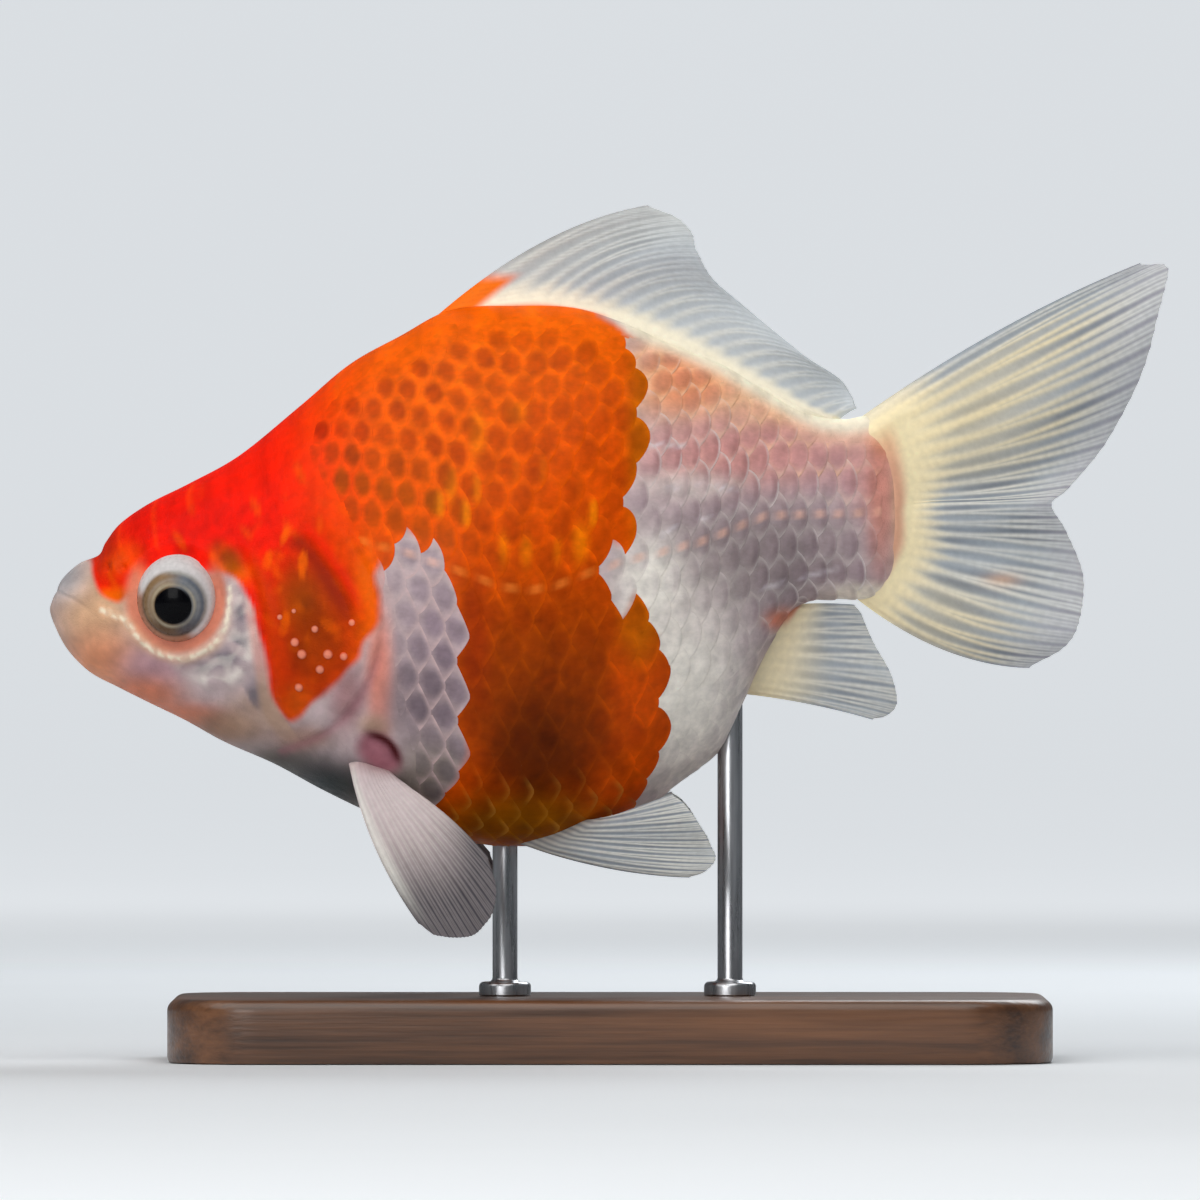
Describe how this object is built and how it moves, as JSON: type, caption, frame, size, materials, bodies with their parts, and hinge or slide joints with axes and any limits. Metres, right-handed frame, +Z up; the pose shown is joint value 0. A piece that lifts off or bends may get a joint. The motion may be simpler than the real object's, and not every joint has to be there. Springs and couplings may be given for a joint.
{
  "type": "goldfish",
  "caption": "Life-size deep-bodied goldfish with a single tail fin, swimming pose, held by two short rods on a flat display base.",
  "frame": {"origin": "on the table, below the middle of the length from the lips to the tip of the tail fin", "axes": "+X from the head to the tail, +Z up, the fish's left flank faces -Y"},
  "size_m": [0.112, 0.044, 0.0857],
  "materials": {
    "red_skin": "satin, wet-looking red skin",
    "orange_skin": "satin, orange scales",
    "pale_skin": "satin, peach and pink skin",
    "fin": "pale rayed membrane",
    "eye": "glossy, silver iris with a black pupil",
    "wood": "satin dark stain",
    "steel": "satin"
  },
  "bodies": {
    "root": {"head": "red_skin", "lower_jaw": "pale_skin", "trunk": "orange_skin", "tail_stem": "pale_skin", "gill_cover_left": "orange_skin", "gill_cover_right": "orange_skin", "eye_left": "eye", "eye_right": "eye", "fin_dorsal": "fin", "fin_tail": "fin", "fin_anal": "fin", "fin_pectoral_left": "fin", "fin_pectoral_right": "fin", "fin_pelvic_left": "fin", "fin_pelvic_right": "fin", "stand_base": "wood", "stand_rod_front": "steel", "stand_rod_rear": "steel"}
  },
  "joints": []
}
